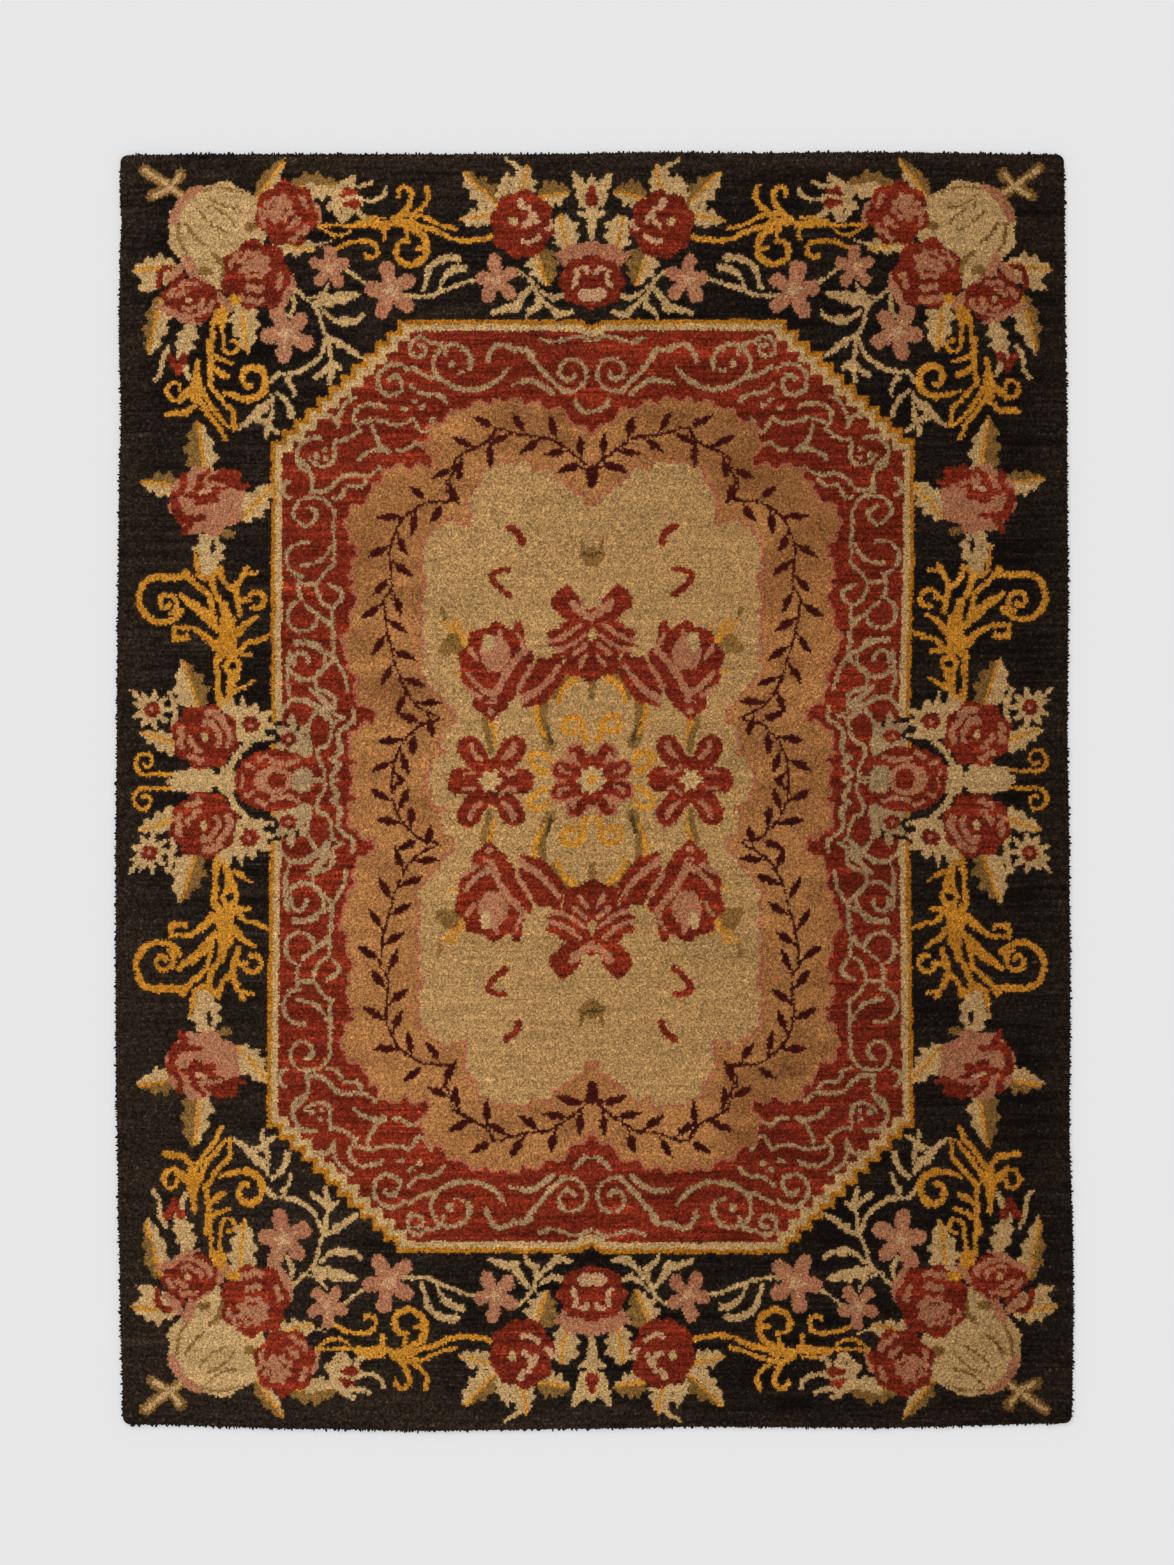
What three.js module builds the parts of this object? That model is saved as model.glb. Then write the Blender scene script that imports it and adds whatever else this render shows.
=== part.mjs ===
// A wool pile rug lying flat on a floor, as one solid: the ground cloth and the pile rooted in it.
// Millimetres, +Z up, +X to the rug's right and +Y to its far end. The floor is at z = 0.
import * as THREE from "three";

// The four edges' mean lines, and the height of the pile above the floor.
const RUG_WIDTH = 1824;
const RUG_LENGTH = 2448;
const PILE_TOP = 12;

// Corner radii. The corners are worn unequally.
const CORNER_RADIUS = { farRight: 11, farLeft: 19, nearLeft: 15, nearRight: 14 };
const CORNER_STEPS = 6;
const EDGE_STEP = 55;

// How far each edge strays outwards from its mean line. A hand-made rug has no straight edge.
const STRAY = {
  right: [
    { at: -1200, out: 7.5 },
    { at: -1045, out: 9.5 },
    { at: -890, out: 9.5 },
    { at: -810, out: 7 },
    { at: -660, out: 2 },
    { at: -430, out: 4 },
    { at: -120, out: 2 },
    { at: 110, out: -1.5 },
    { at: 340, out: 0 },
    { at: 650, out: -2 },
    { at: 950, out: -6 },
    { at: 1200, out: -7.5 },
  ],
  far: [
    { at: -880, out: -3 },
    { at: -790, out: -1 },
    { at: -100, out: -1 },
    { at: 130, out: 3 },
    { at: 280, out: 1 },
    { at: 510, out: 3 },
    { at: 890, out: -1 },
  ],
  left: [
    { at: -1200, out: -8.5 },
    { at: -970, out: -3 },
    { at: -740, out: 1 },
    { at: -510, out: 5 },
    { at: -120, out: 5 },
    { at: 110, out: 3 },
    { at: 570, out: -1 },
    { at: 720, out: -5 },
    { at: 880, out: -1 },
    { at: 1030, out: -3 },
    { at: 1106, out: -6.5 },
    { at: 1185, out: 0 },
  ],
  near: [
    { at: -870, out: -7 },
    { at: -560, out: 1 },
    { at: -330, out: 5 },
    { at: -20, out: 1 },
    { at: 205, out: -3 },
    { at: 560, out: -1 },
    { at: 820, out: -7 },
    { at: 900, out: -12.5 },
  ],
};

// The edge in section, from the floor up: the ground cloth's cut edge, the pile splaying over it,
// and the pile's rounded shoulder. Each row is a height and how far it stands in from the outline.
const EDGE_SECTION = [
  { z: 0, inset: 3.5 },
  { z: 2, inset: 1.5 },
  { z: 5, inset: 0 },
  { z: 8.5, inset: 0.4 },
  { z: 10.8, inset: 2.4 },
  { z: PILE_TOP, inset: 6.5 },
];

// A row's value at a place along an edge, eased between the rows on both sides of it.
function strayAt(rows, at) {
  if (at <= rows[0].at) return rows[0].out;
  const next = rows.findIndex((row) => row.at > at);
  if (next < 0) return rows[rows.length - 1].out;
  const from = rows[next - 1];
  const to = rows[next];
  return THREE.MathUtils.lerp(from.out, to.out, THREE.MathUtils.smoothstep(at, from.at, to.at));
}

const rightX = (y) => RUG_WIDTH / 2 + strayAt(STRAY.right, y);
const leftX = (y) => -RUG_WIDTH / 2 - strayAt(STRAY.left, y);
const farY = (x) => RUG_LENGTH / 2 + strayAt(STRAY.far, x);
const nearY = (x) => -RUG_LENGTH / 2 - strayAt(STRAY.near, x);

// One rounded corner: its arc's centre, radius and first angle, a quarter turn counterclockwise.
function corner(sideX, endY, signX, signY, radius, firstAngle) {
  const x = sideX(signY * (RUG_LENGTH / 2 - radius)) - signX * radius;
  const y = endY(signX * (RUG_WIDTH / 2 - radius)) - signY * radius;
  return { x, y, radius, firstAngle };
}

// The outline, counterclockwise from the near right corner: four corner arcs joined by four edges.
function outline() {
  const corners = [
    corner(rightX, nearY, 1, -1, CORNER_RADIUS.nearRight, -Math.PI / 2),
    corner(rightX, farY, 1, 1, CORNER_RADIUS.farRight, 0),
    corner(leftX, farY, -1, 1, CORNER_RADIUS.farLeft, Math.PI / 2),
    corner(leftX, nearY, -1, -1, CORNER_RADIUS.nearLeft, Math.PI),
  ];
  const edges = [
    (along) => new THREE.Vector2(rightX(along), along),
    (along) => new THREE.Vector2(along, farY(along)),
    (along) => new THREE.Vector2(leftX(along), along),
    (along) => new THREE.Vector2(along, nearY(along)),
  ];
  const points = [];
  corners.forEach((here, side) => {
    for (let step = 0; step <= CORNER_STEPS; step++) {
      const angle = here.firstAngle + (step / CORNER_STEPS) * (Math.PI / 2);
      const arm = new THREE.Vector2(Math.cos(angle), Math.sin(angle)).multiplyScalar(here.radius);
      points.push(new THREE.Vector2(here.x, here.y).add(arm));
    }
    const next = corners[(side + 1) % 4];
    const axis = side % 2 === 0 ? "y" : "x";
    const steps = Math.round(Math.abs(next[axis] - here[axis]) / EDGE_STEP);
    for (let step = 1; step < steps; step++) {
      points.push(edges[side](THREE.MathUtils.lerp(here[axis], next[axis], step / steps)));
    }
  });
  return points;
}

// Moves the outline so that its bounding box is centred on the origin.
function centred(points) {
  const middle = new THREE.Box2().setFromPoints(points).getCenter(new THREE.Vector2());
  return points.map((point) => point.clone().sub(middle));
}

// The outline moved inwards along its own normals.
function insetRing(points, inset) {
  return points.map((point, i) => {
    const before = points[(i + points.length - 1) % points.length];
    const after = points[(i + 1) % points.length];
    const along = after.clone().sub(before).normalize();
    return new THREE.Vector2(point.x - along.y * inset, point.y + along.x * inset);
  });
}

// Skins the section's rings from the floor up and closes both faces.
function rugGeometry() {
  const base = centred(outline());
  const rings = EDGE_SECTION.map((row) => insetRing(base, row.inset));
  const count = base.length;
  const positions = rings.flatMap((ring, level) =>
    ring.flatMap((point) => [point.x, point.y, EDGE_SECTION[level].z]),
  );
  const faces = [];
  for (let level = 0; level < rings.length - 1; level++) {
    for (let i = 0; i < count; i++) {
      const a = level * count + i;
      const b = level * count + ((i + 1) % count);
      faces.push(a, b, b + count, a, b + count, a + count);
    }
  }
  const top = (rings.length - 1) * count;
  for (const [a, b, c] of THREE.ShapeUtils.triangulateShape(rings[rings.length - 1], [])) {
    faces.push(top + a, top + b, top + c);
  }
  for (const [a, b, c] of THREE.ShapeUtils.triangulateShape(rings[0], [])) {
    faces.push(c, b, a);
  }
  const geometry = new THREE.BufferGeometry();
  geometry.setAttribute("position", new THREE.Float32BufferAttribute(positions, 3));
  geometry.setIndex(faces);
  geometry.computeVertexNormals();
  return geometry;
}

const pileWool = new THREE.MeshStandardMaterial({ color: 0x805837, roughness: 0.95, metalness: 0 });

const rug = new THREE.Mesh(rugGeometry(), pileWool);
rug.name = "rug";

const model = new THREE.Group();
model.add(rug);

export default model;
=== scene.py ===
"""A tufted wool rug lying flat: its pile, its edge tufts and the cloth under them, in metres."""

import bpy
import numpy as np
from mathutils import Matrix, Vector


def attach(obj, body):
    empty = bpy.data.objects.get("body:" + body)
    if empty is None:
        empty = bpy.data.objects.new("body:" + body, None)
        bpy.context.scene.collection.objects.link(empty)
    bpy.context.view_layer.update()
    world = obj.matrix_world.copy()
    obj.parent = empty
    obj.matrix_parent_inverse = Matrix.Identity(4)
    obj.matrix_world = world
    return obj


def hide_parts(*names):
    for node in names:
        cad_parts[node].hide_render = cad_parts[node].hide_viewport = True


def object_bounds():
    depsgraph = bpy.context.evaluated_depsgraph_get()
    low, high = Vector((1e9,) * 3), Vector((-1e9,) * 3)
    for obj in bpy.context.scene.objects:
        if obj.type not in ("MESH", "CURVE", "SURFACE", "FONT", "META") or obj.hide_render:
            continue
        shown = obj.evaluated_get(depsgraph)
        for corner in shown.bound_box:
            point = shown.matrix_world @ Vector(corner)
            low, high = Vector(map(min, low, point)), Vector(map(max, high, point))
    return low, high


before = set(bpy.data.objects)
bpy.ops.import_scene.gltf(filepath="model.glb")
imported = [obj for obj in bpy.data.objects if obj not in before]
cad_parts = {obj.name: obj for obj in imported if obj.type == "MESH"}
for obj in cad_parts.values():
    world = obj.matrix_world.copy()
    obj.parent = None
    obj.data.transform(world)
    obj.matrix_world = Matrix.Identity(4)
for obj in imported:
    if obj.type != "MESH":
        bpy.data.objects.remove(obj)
cad_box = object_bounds()

# The chart of one quarter of the rug. Its places u and v run out from the rug's middle, across it and
# along it, in steps as long as STITCH. Each step is FINE cells, and a cell holds a dye's number.

GROUND, RED, CREAM, GOLD, OLIVE, PINK, TAN, SAND, MAROON, TAUPE, BLUSH, DUSK, SHELL, AMBER = range(14)
QUARTER_U = 490
QUARTER_V = 652
FINE = 2

chart = np.full((QUARTER_V * FINE, QUARTER_U * FINE), GROUND, np.uint8)
grain = np.random.default_rng(4)


def soft_noise(shape, cell_v, cell_u):
    """Smooth random values about zero that change over the given numbers of cells."""
    coarse = grain.standard_normal((shape[0] // cell_v + 3, shape[1] // cell_u + 3))
    rows = np.arange(shape[0]) / cell_v
    columns = np.arange(shape[1]) / cell_u
    row = rows.astype(int)
    column = columns.astype(int)
    down = (rows - row)[:, None]
    over = (columns - column)[None, :]
    near = coarse[row][:, column] * (1 - over) + coarse[row][:, column + 1] * over
    far = coarse[row + 1][:, column] * (1 - over) + coarse[row + 1][:, column + 1] * over
    return near * (1 - down) + far * down


def layered_noise(shape, table):
    """Soft noise of several sizes added up. Each row: its strength, and its cells along v and u."""
    return sum(strength * soft_noise(shape, cell_v, cell_u) for strength, cell_v, cell_u in table)


# How far a motif's edge strays at each cell: by whole knots, and by a softer drift
TOOTH = 4
TOOTH_DEPTH = 0.85
DRIFT_DEPTH = 0.4
DRIFT_CELL = 9
teeth = grain.uniform(-1, 1, (chart.shape[0] // TOOTH + 1, chart.shape[1] // TOOTH + 1))
teeth = np.kron(teeth, np.ones((TOOTH, TOOTH)))[: chart.shape[0], : chart.shape[1]]
RAGGED = TOOTH_DEPTH * teeth + DRIFT_DEPTH * soft_noise(chart.shape, DRIFT_CELL, DRIFT_CELL)


def window(points, margin):
    """The part of the chart around some points, and its cells' places."""
    low = np.floor((np.min(points, axis=0) - margin) * FINE).astype(int).clip(0)
    high = np.ceil((np.max(points, axis=0) + margin) * FINE).astype(int).clip(0)
    part = (slice(low[1], high[1]), slice(low[0], high[0]))
    height, width = chart[part].shape
    v, u = np.mgrid[part]
    return part, (u[:height, :width] + 0.5) / FINE, (v[:height, :width] + 0.5) / FINE


def stroke(dye, path, width, end=None):
    """A line along a path, as wide as width at its start and as end at its end."""
    path = np.array(path, float)
    end = width if end is None else end
    part, u, v = window(path, max(width, end))
    spans = np.hypot(*np.diff(path, axis=0).T)
    gone = np.concatenate([[0], np.cumsum(spans)]) / spans.sum()
    gap = np.full(u.shape, np.inf)
    for a, b, start, stop in zip(path, path[1:], gone, gone[1:]):
        du, dv = b - a
        t = (((u - a[0]) * du + (v - a[1]) * dv) / (du * du + dv * dv + 1e-9)).clip(0, 1)
        half = 0.5 * (width + (end - width) * (start + (stop - start) * t))
        gap = np.minimum(gap, np.hypot(u - a[0] - t * du, v - a[1] - t * dv) - half)
    chart[part][gap < RAGGED[part]] = dye


def bent(dye, u, v, to_u, to_v, aside, width, end):
    """A stem from one place to another, moved aside by some distances along its way."""
    t = np.linspace(0, 1, len(aside))
    aside = aside / np.hypot(to_u - u, to_v - v)
    path_u = u + (to_u - u) * t - (to_v - v) * aside
    path_v = v + (to_v - v) * t + (to_u - u) * aside
    stroke(dye, np.column_stack([path_u, path_v]), width, end)


def branch(dye, u, v, to_u, to_v, lift=0, width=4, end=None):
    """A stem from one place to another. Lift is how far its middle bulges to its left."""
    t = np.linspace(0, 1, 2 if lift == 0 else 11)
    bent(dye, u, v, to_u, to_v, 4 * lift * t * (1 - t), width, end)


def wave(dye, u, v, to_u, to_v, height, count, width=4, end=None):
    """A stem that swings from side to side. A count of 0.5 is one bulge."""
    t = np.linspace(0, 1, int(16 * count) + 6)
    bent(dye, u, v, to_u, to_v, height * np.sin(2 * np.pi * count * t), width, end)


def curl(dye, u, v, radius, start, turns, width=4, end=None, inner=0.3):
    """A spiral about a middle, from its rim inwards. Start is the angle of its first point."""
    t = np.linspace(0, 1, int(18 * abs(turns)) + 5)
    angle = np.radians(start + 360 * turns * t)
    reach = radius * (1 - (1 - inner) * t)
    stroke(dye, np.column_stack([u + reach * np.cos(angle), v + reach * np.sin(angle)]), width, end)


def spot(dye, u, v, radius, radius_v=None, lobes=0, depth=0.0, turn=0, lean=0):
    """A round or lobed spot. Turn moves its lobes round, and lean tilts its long axis."""
    radius_v = radius_v or radius
    reach = max(radius, radius_v) * (1 + depth) + 3
    part, cell_u, cell_v = window([(u - reach, v - reach), (u + reach, v + reach)], 0)
    cosine, sine = np.cos(np.radians(lean)), np.sin(np.radians(lean))
    across = ((cell_u - u) * cosine + (cell_v - v) * sine) / radius
    along = ((cell_v - v) * cosine - (cell_u - u) * sine) / radius_v
    rim = 1 + depth * np.cos(lobes * (np.arctan2(along, across) - np.radians(turn)))
    chart[part][np.hypot(across, along) < rim + RAGGED[part] / min(radius, radius_v)] = dye


def leaf(u, v, tip_u, tip_v, width, left=CREAM, rib=GOLD, right=CREAM, notch=0.2):
    """A leaf from its base to its tip, with a dye on each side of its rib and a notched edge."""
    length = np.hypot(tip_u - u, tip_v - v)
    ahead_u, ahead_v = (tip_u - u) / length, (tip_v - v) / length
    part, cell_u, cell_v = window([(u, v), (tip_u, tip_v)], width)
    t = ((cell_u - u) * ahead_u + (cell_v - v) * ahead_v) / length
    side = (cell_u - u) * ahead_v - (cell_v - v) * ahead_u
    held = t.clip(0, 1)
    notched = 1 + notch * np.sin(8 * np.pi * held + np.sign(side))
    half = 0.5 * width * np.sin(np.pi * held**0.75) ** 0.8 * notched
    inside = (np.abs(side) < half + RAGGED[part]) & (t > 0) & (t < 1)
    here = chart[part]
    here[inside & (side >= 0)] = right
    here[inside & (side < 0)] = left
    if rib is not None:
        here[inside & (np.abs(side + 0.06 * width) < 1.7 + RAGGED[part])] = rib


def each(draw, columns, *table, **shared):
    """Draws a motif for each row of a table. A short row takes the motif's usual values for the rest."""
    for row in table:
        draw(**dict(zip(columns.split(), row)), **shared)


STEM = "u v to_u to_v lift width end"
DYED_STEM = "dye u v to_u to_v lift width end"
SPOT = "dye u v radius radius_v lobes depth turn lean"
CURL = "u v radius start turns inner width end"
LEAF = "u v tip_u tip_v width left rib right"


# Flowers

def star(u, v, reach, turn, uneven):
    """A flower of five long rounded petals. Uneven makes the petals differ in length."""
    for petal in range(5):
        angle = np.radians(turn + 72 * petal)
        length = 0.8 * reach * (1 + uneven * np.cos(2.3 * petal + 0.4))
        out_u, out_v = length * np.cos(angle), length * np.sin(angle)
        branch(PINK, u, v, u + out_u, v + out_v, 0, 0.5 * reach, 0.6 * reach)
        branch(SHELL, u, v, u + 0.6 * out_u, v + 0.6 * out_v, 0, 0.16 * reach, 1)
    spot(SHELL, u, v, 0.22 * reach)


# A rose's petals: how far out each lies, the angle that it starts at, its sweep and its thickness
PETAL_COLUMNS = ("out", "start", "sweep", "thick")
PETALS = (
    (0.74, -52, 100, 0.21), (0.42, -62, 125, 0.18), (0.44, 140, 62, 0.15), (0.74, 128, 36, 0.15),
    (0.76, 188, 44, 0.17),
)
STRIPES = ((0.42, 168, 58, 0.16), (0.78, 176, 48, 0.17), (0.72, 100, 30, 0.14), (0.80, -60, 34, 0.13))
FOLDS = ((0.55, 150, 70, 0.12), (0.60, -40, 50, 0.10))
PETAL_POINTS = 9


def petal_arcs(dye, u, v, radius, radius_v, turn, table):
    """Petals as arcs about a rose's middle, one for each row of a table."""
    size = 0.5 * (radius + radius_v)
    for row in table:
        petal = dict(zip(PETAL_COLUMNS, row))
        angle = np.radians(turn + petal["start"] + np.linspace(0, petal["sweep"], PETAL_POINTS))
        swell = petal["out"] + 0.05 * np.sin(np.linspace(0, 3 * np.pi, PETAL_POINTS))
        path = np.column_stack([u + swell * radius * np.cos(angle), v + swell * radius_v * np.sin(angle)])
        stroke(dye, path, 1.2 * petal["thick"] * size, 0.85 * petal["thick"] * size)


def rose(u, v, radius, radius_v, turn):
    """A full rose: petals folded one in another on a lobed ground. Turn is the way that it faces."""
    spot(RED, u, v, radius, radius_v, lobes=8, depth=0.06, turn=turn)
    petal_arcs(PINK, u, v, radius, radius_v, turn, PETALS)
    spot(CREAM, u, v, 0.1 * radius, 0.14 * radius_v)


def splashed_rose(u, v, radius, radius_v, turn):
    """A rose with one large lobed petal on the side that it faces, and stripes on the other."""
    spot(RED, u, v, radius, radius_v, lobes=7, depth=0.07, turn=turn)
    splash_u = u + 0.3 * radius * np.cos(np.radians(turn))
    splash_v = v + 0.3 * radius_v * np.sin(np.radians(turn))
    splash = (splash_u, splash_v, 0.46 * radius, 0.42 * radius_v)
    spot(PINK, *splash, lobes=8, depth=0.13, turn=turn + 30)
    petal_arcs(RED, *splash, turn, FOLDS)
    petal_arcs(PINK, u, v, radius, radius_v, turn, STRIPES)


def daisy(u, v, reach, petals, turn, ring, eye):
    """A small open flower: petals round a ring, and an eye in it."""
    spot(CREAM, u, v, reach, lobes=petals, depth=0.28, turn=turn)
    spot(ring, u, v, 0.5 * reach)
    spot(eye, u, v, 0.15 * reach)


# The frame, the band in it and the two scalloped fields

OCTAGON_SIDE = 321
OCTAGON_END = 468
DIAGONAL_U = 194
DIAGONAL_V = 347
DIAGONAL_STEPS = 11
GOLD_LINE = 4.6
CREAM_LINE = 11


def octagon(dye, inset):
    """The stepped octagon, drawn inwards by inset."""
    v, u = np.mgrid[0 : chart.shape[0], 0 : chart.shape[1]]
    u = (u + 0.5) / FINE + inset - 0.5 * RAGGED
    v = (v + 0.5) / FINE + inset - 0.5 * RAGGED
    for step in range(DIAGONAL_STEPS + 1):
        share = step / DIAGONAL_STEPS
        far_u = DIAGONAL_U + (OCTAGON_SIDE - DIAGONAL_U) * share
        far_v = OCTAGON_END + (DIAGONAL_V - OCTAGON_END) * share
        chart[(u < far_u) & (v < far_v)] = dye


def scalloped(dye, rim, lobes, core):
    """A field with a scalloped edge: round lobes and boxes joined together, with a thin rim."""
    for shade, grow in ((BLUSH, rim), (dye, 0)):
        for u, v, radius in lobes:
            spot(shade, u, v, radius + grow, lobes=7, depth=0.09, turn=5 * u)
        for far_u, far_v in core:
            chart[: int((far_v + grow) * FINE), : int((far_u + grow) * FINE)] = shade


# Each lobe: its middle's place and its radius. Each row of a core: its box's far corner.
FIELD_RIM = 2.6
OUTER_LOBES = (
    (26, 339, 25), (44, 352, 27), (62, 359, 25), (84, 362, 26), (106, 360, 25), (124, 355, 24),
    (142, 345, 23), (170, 306, 16), (194, 304, 17), (206, 288, 17), (226, 265, 19), (229, 257, 15),
    (216, 236, 17), (224, 216, 16), (216, 200, 22), (226, 178, 12), (222, 163, 19), (228, 146, 20),
    (224, 124, 17), (218, 98, 18), (204, 62, 14), (221, 42, 21), (220, 12, 19),
)
OUTER_CORE = ((10, 352), (100, 352), (140, 346), (158, 330), (190, 306), (206, 276), (214, 258))
INNER_LOBES = (
    (26, 272, 24), (36, 280, 23), (53, 294, 25), (74, 303, 23), (90, 300, 23), (104, 286, 18),
    (106, 277, 16), (140, 246, 20), (151, 238, 18), (152, 222, 18), (146, 204, 18), (152, 185, 18),
    (150, 160, 21), (152, 140, 18), (146, 131, 16), (152, 122, 19), (140, 105, 18), (128, 90, 16),
    (121, 73, 15), (131, 46, 19), (142, 14, 20), (130, 224, 20), (130, 194, 20), (130, 172, 20),
)
INNER_CORE = ((110, 281), (120, 268), (131, 262), (134, 252))
VINE_FROM_END = (
    (5, 322), (28, 341), (46, 350), (68, 353), (94, 359), (104, 346), (134, 331), (137, 318), (146, 302),
    (140, 288), (166, 285), (190, 268), (202, 240), (200, 203), (208, 188), (205, 160), (194, 116),
    (177, 84), (150, 69),
)
VINE_FROM_SIDE = ((150, 69), (176, 60), (195, 34), (200, 4))
VINE_WIDTH = 2.6
VINE_TWIG = 10
VINE_STALK = 6
VINE_LEAF_LENGTH = 22
VINE_LEAF_WIDTH = 8
VINE_LEAF_SPREAD = 48
VINE_LOOK = 8


def smooth(points, steps=8):
    """A smooth path through a few places."""
    given = np.array(points, float)
    padded = np.vstack([2 * given[0] - given[1], given, 2 * given[-1] - given[-2]])
    path = []
    for a, b, c, d in zip(padded, padded[1:], padded[2:], padded[3:]):
        for t in np.arange(steps) / steps:
            bend = 2 * a - 5 * b + 4 * c - d + t * (3 * b - a - 3 * c + d)
            path.append(b + 0.5 * t * (c - a + t * bend))
    return np.array(path + [given[-1]])


def vine(points, first, gap, left_out=None):
    """A leafy vine through some places, its first leaf so far along it and one more after each gap."""
    path = smooth(points)
    stroke(MAROON, path, 2.8, VINE_WIDTH)
    spans = np.hypot(*np.diff(path, axis=0).T)
    gone = np.concatenate([[0], np.cumsum(spans)])
    for number, place in enumerate(np.arange(first, gone[-1] - 4, gap)):
        if number == left_out:
            continue
        side = -1 if number % 2 else 1
        around = (place, place - VINE_LOOK, place + VINE_LOOK)
        u, behind_u, ahead_u = np.interp(around, gone, path[:, 0])
        v, behind_v, ahead_v = np.interp(around, gone, path[:, 1])
        heading = np.arctan2(ahead_v - behind_v, ahead_u - behind_u) + side * np.radians(VINE_LEAF_SPREAD)
        out_u, out_v = np.cos(heading), np.sin(heading)
        branch(MAROON, u, v, u + VINE_TWIG * out_u, v + VINE_TWIG * out_v, 0, VINE_WIDTH)
        base = (u + VINE_STALK * out_u, v + VINE_STALK * out_v)
        reach = VINE_STALK + VINE_LEAF_LENGTH
        leaf(*base, u + reach * out_u, v + reach * out_v, VINE_LEAF_WIDTH, MAROON, None, MAROON, notch=0)


def red_band():
    """The frame's lines, and the light scroll lines on the band inside it."""
    octagon(AMBER, 0)
    octagon(CREAM, GOLD_LINE)
    octagon(RED, CREAM_LINE)
    each(spot, SPOT, (CREAM, 0, 458, 13, 7), (AMBER, 0, 464, 11, 5), (GROUND, 0, 469, 9, 6))
    each(
        curl, CURL,
        (22, 415, 20, 290, -1.25, 0.25), (139, 424, 19, 195, -0.7, 1.0), (173, 439, 12, 140, -1.15, 0.35),
        (199, 405, 20, 140, -1.3, 0.25, 4.5, 4), (277, 332, 18, 110, -0.5, 1.0),
        (284, 274, 17, 106, -1.0, 0.35), (289, 228, 18, 110, -0.55, 0.9), (289, 172, 16, 80, -0.7, 0.9),
        (286, 127, 20, 60, 0.9, 0.9), (292, 127, 9, 190, -0.6, 0.8), (224, 370, 14, 120, -0.5, 1.0),
        dye=TAUPE,
    )
    each(
        branch, STEM,
        (155, 411, 84, 419, 17, 4.5), (104, 426, 76, 437, -12, 4, 5), (76, 437, 58, 434, -3, 5, 4),
        (64, 436, 28, 396, 2, 4, 6), (82, 403, 60, 407, -1, 2.5, 5), (60, 407, 40, 394, -2, 6),
        (17, 387, -2, 376, 4), (180, 421, 154, 409, 2), (163, 445, 145, 434, -4), (236, 391, 254, 361, 6),
        (255, 362, 269, 372, 5), (206, 380, 220, 384, 1), (232, 358, 257, 346, -2), (257, 348, 258, 326),
        (258, 326, 282, 330, -6), (219, 362, 203, 337, 4, 4, 5), (203, 337, 234, 328, 5, 5, 4),
        (293, 330, 281, 294, -6), (303, 307, 301, 290, 7), (277, 291, 258, 274, -4), (258, 274, 258, 222),
        (258, 222, 275, 204, 2), (275, 204, 260, 180, 5), (260, 180, 258, 132), (290, 205, 275, 203),
        (291, 212, 290, 188, 3), (291, 223, 261, 241, 6), (286, 183, 261, 162, 0, 4, 6),
        (262, 202, 258, 181, -10), (297, 147, 256, 128, -3), (256, 128, 244, 97, -2), (258, 128, 280, 109),
        (305, 122, 300, 88, 2), (300, 88, 311, 74, 1), (299, 89, 264, 72, -4, 4, 9),
        (282, 99, 262, 80, -1, 4, 8), (275, 76, 283, 46, 4),
        dye=TAUPE,
    )
    each(
        wave, "u v to_u to_v height count width end",
        (2, 448, 52, 449, 3, 1, 3.5), (180, 403, 146, 385, 3, 1), (232, 364, 178, 368, -3, 1),
        (178, 368, 159, 369, 13, 0.5), (194, 338, 171, 344, 2, 1, 3.5), (279, 297, 212, 321, 4, 1.5, 5, 4),
        (259, 289, 226, 308, 3, 1.5), (277, 108, 248, 70, 4, 1.5), (249, 70, 272, 40, 4, 1),
        (272, 40, 270, 6, 3, 1), (239, 78, 260, 28, -4, 1.5, 4, 6), (260, 28, 254, 6, -5, 1, 6, 5),
        dye=TAUPE,
    )
    each(
        spot, "u v radius radius_v",
        (140, 424, 3, 4), (128, 438, 4, 2), (130, 416, 4, 2), (169, 381, 4, 2.5), (177, 387, 3, 2),
        (188, 379, 5, 2), (276, 332, 3.5, 3), (267, 338, 3), (266, 329, 2.5), (122, 425, 2, 5),
        dye=TAUPE,
    )


def fields():
    """The two scalloped fields, the vine on the outer one, and the bud that it grows from."""
    scalloped(TAN, FIELD_RIM, OUTER_LOBES, OUTER_CORE)
    scalloped(SAND, FIELD_RIM, INNER_LOBES, INNER_CORE)
    vine(VINE_FROM_END, first=8, gap=15.2, left_out=12)
    vine(VINE_FROM_SIDE, first=20, gap=11.5)
    branch(MAROON, 0, 317, 0, 305, 0, 13, 11)
    branch(MAROON, 2, 321, 18, 322, -1, 2.4, 2.4)
    leaf(12, 323, 35, 315, 9, MAROON, None, MAROON, notch=0)


# The wreath in the middle

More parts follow.
